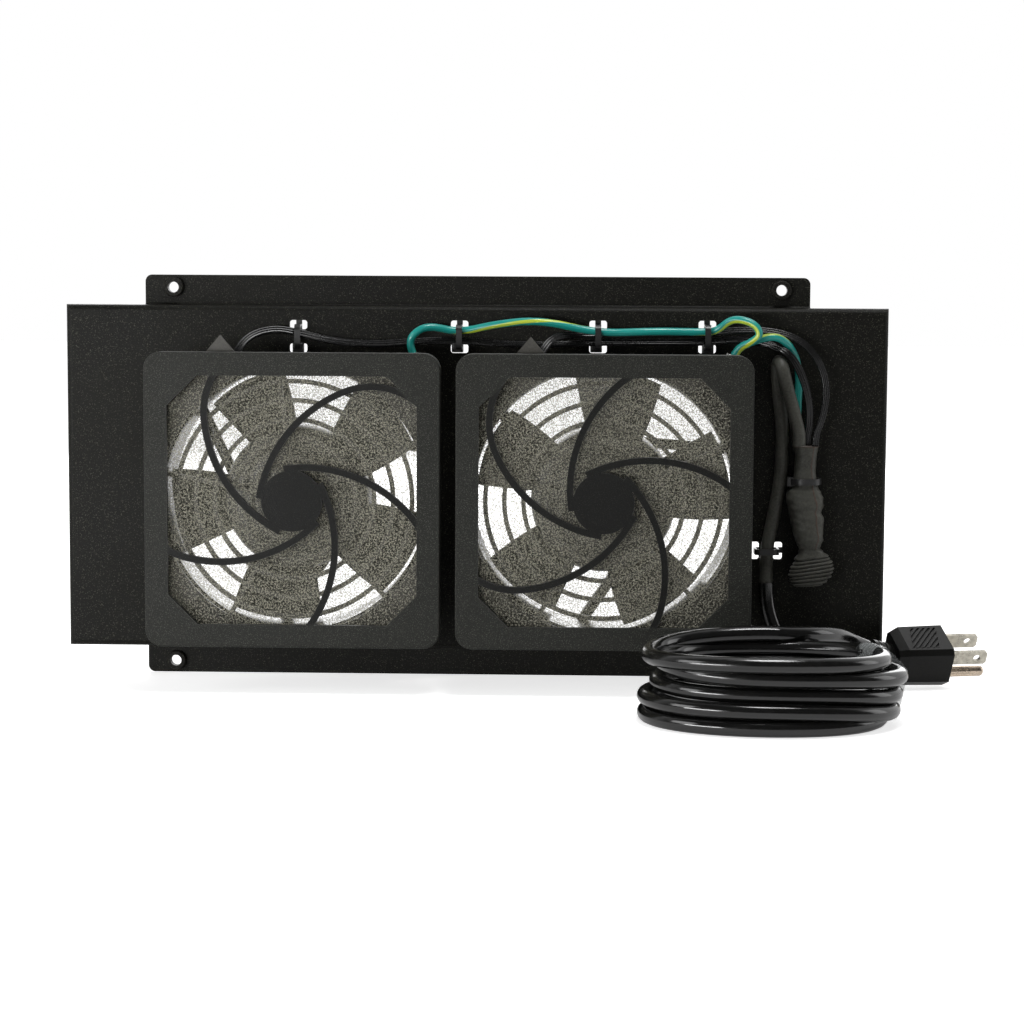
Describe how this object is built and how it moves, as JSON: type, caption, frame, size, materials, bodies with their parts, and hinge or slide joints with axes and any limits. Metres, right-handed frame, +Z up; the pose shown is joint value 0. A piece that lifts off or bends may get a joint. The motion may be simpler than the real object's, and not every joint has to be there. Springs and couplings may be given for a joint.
{
  "type": "rack fan tray",
  "caption": "Black steel rack panel carrying axial fans behind clip-on dust filters, with a tied wire harness and a coiled mains cord ending in a grounded plug.",
  "frame": {"origin": "on the floor, under the middle of the tray's box, the free cord not counted", "axes": "+X to the right of someone facing the filters, -Y towards that person, +Z up"},
  "size_m": [0.4053, 0.1475, 0.1778],
  "materials": {
    "axle_steel": "ground",
    "band_clear": "clear",
    "bearing_steel": "polished",
    "blade_nickel": "nickel plated",
    "copper_wire": "enamelled copper",
    "cord_black": "glossy jacket",
    "cover_grey": "matt charcoal",
    "fan_black": "satin black enamel on die-cast aluminium",
    "foam": "open-cell foam",
    "ground_green": "green with a yellow stripe",
    "guard_grey": "matt",
    "impeller_black": "matt",
    "lamination": "plain",
    "lead_black": "glossy",
    "moulded_black": "satin",
    "panel_black": "textured powder coat",
    "pin_brass": "bright",
    "plug_black": "satin",
    "rotor_steel": "plain",
    "screw_black": "black oxide",
    "sleeve_grey": "matt heat-shrink",
    "terminal_brass": "bright",
    "tie_black": "satin",
    "tinned": "tinned",
    "zinc_steel": "zinc plated"
  },
  "bodies": {
    "tray": {"cable_tie_1": "tie_black", "cable_tie_2": "tie_black", "cable_tie_3": "tie_black", "cable_tie_4": "tie_black", "clinch_nuts": "panel_black", "cord_band": "band_clear", "cord_coil": "cord_black", "fan_bearings_left": "bearing_steel", "fan_bearings_right": "bearing_steel", "fan_frame_left": "fan_black", "fan_frame_right": "fan_black", "fan_lead_left": "lead_black", "fan_lead_right": "lead_black", "fan_nuts_left": "zinc_steel", "fan_nuts_right": "zinc_steel", "fan_plug_left": "moulded_black", "fan_plug_right": "moulded_black", "fan_screws_left": "screw_black", "fan_screws_right": "screw_black", "fan_spider_left": "fan_black", "fan_spider_right": "fan_black", "fan_stator_left": "lamination", "fan_stator_right": "lamination", "fan_terminals_left": "terminal_brass", "fan_terminals_right": "terminal_brass", "fan_windings_left": "copper_wire", "fan_windings_right": "copper_wire", "filter_foam_left": "foam", "filter_foam_right": "foam", "filter_guard_left": "guard_grey", "filter_guard_right": "guard_grey", "ground_lug_left": "tinned", "ground_lug_right": "tinned", "ground_wire_left": "ground_green", "ground_wire_right": "ground_green", "guard_screws_left": "screw_black", "guard_screws_right": "screw_black", "lead_sleeve": "sleeve_grey", "panel": "panel_black", "plug_blades": "blade_nickel", "plug_body": "plug_black", "plug_pin": "pin_brass", "power_cord": "cord_black", "power_cord_tail": "cord_black", "sleeve_tie": "tie_black", "splice_boot": "sleeve_grey", "splice_sleeve": "sleeve_grey", "splice_tie": "tie_black"},
    "impeller_left": {"fan_impeller_left": "impeller_black", "fan_rotor_left": "rotor_steel", "fan_axle_left": "axle_steel", "fan_axle_clip_left": "axle_steel"},
    "cover_left": {"filter_cover_left": "cover_grey"},
    "impeller_right": {"fan_impeller_right": "impeller_black", "fan_rotor_right": "rotor_steel", "fan_axle_right": "axle_steel", "fan_axle_clip_right": "axle_steel"},
    "cover_right": {"filter_cover_right": "cover_grey"}
  },
  "joints": [
    {"name": "impeller_left_spin", "type": "hinge", "parent": "tray", "child": "impeller_left", "pos_m": [-0.0752, 0, 0.0828], "axis": [0, -1, 0], "continuous": true},
    {"name": "impeller_right_spin", "type": "hinge", "parent": "tray", "child": "impeller_right", "pos_m": [0.0563, 0, 0.0828], "axis": [0, -1, 0], "continuous": true},
    {"name": "cover_left_pull", "type": "slide", "parent": "tray", "child": "cover_left", "axis": [0, -1, 0], "range_m": [0, 0.01]},
    {"name": "cover_right_pull", "type": "slide", "parent": "tray", "child": "cover_right", "axis": [0, -1, 0], "range_m": [0, 0.01]}
  ]
}
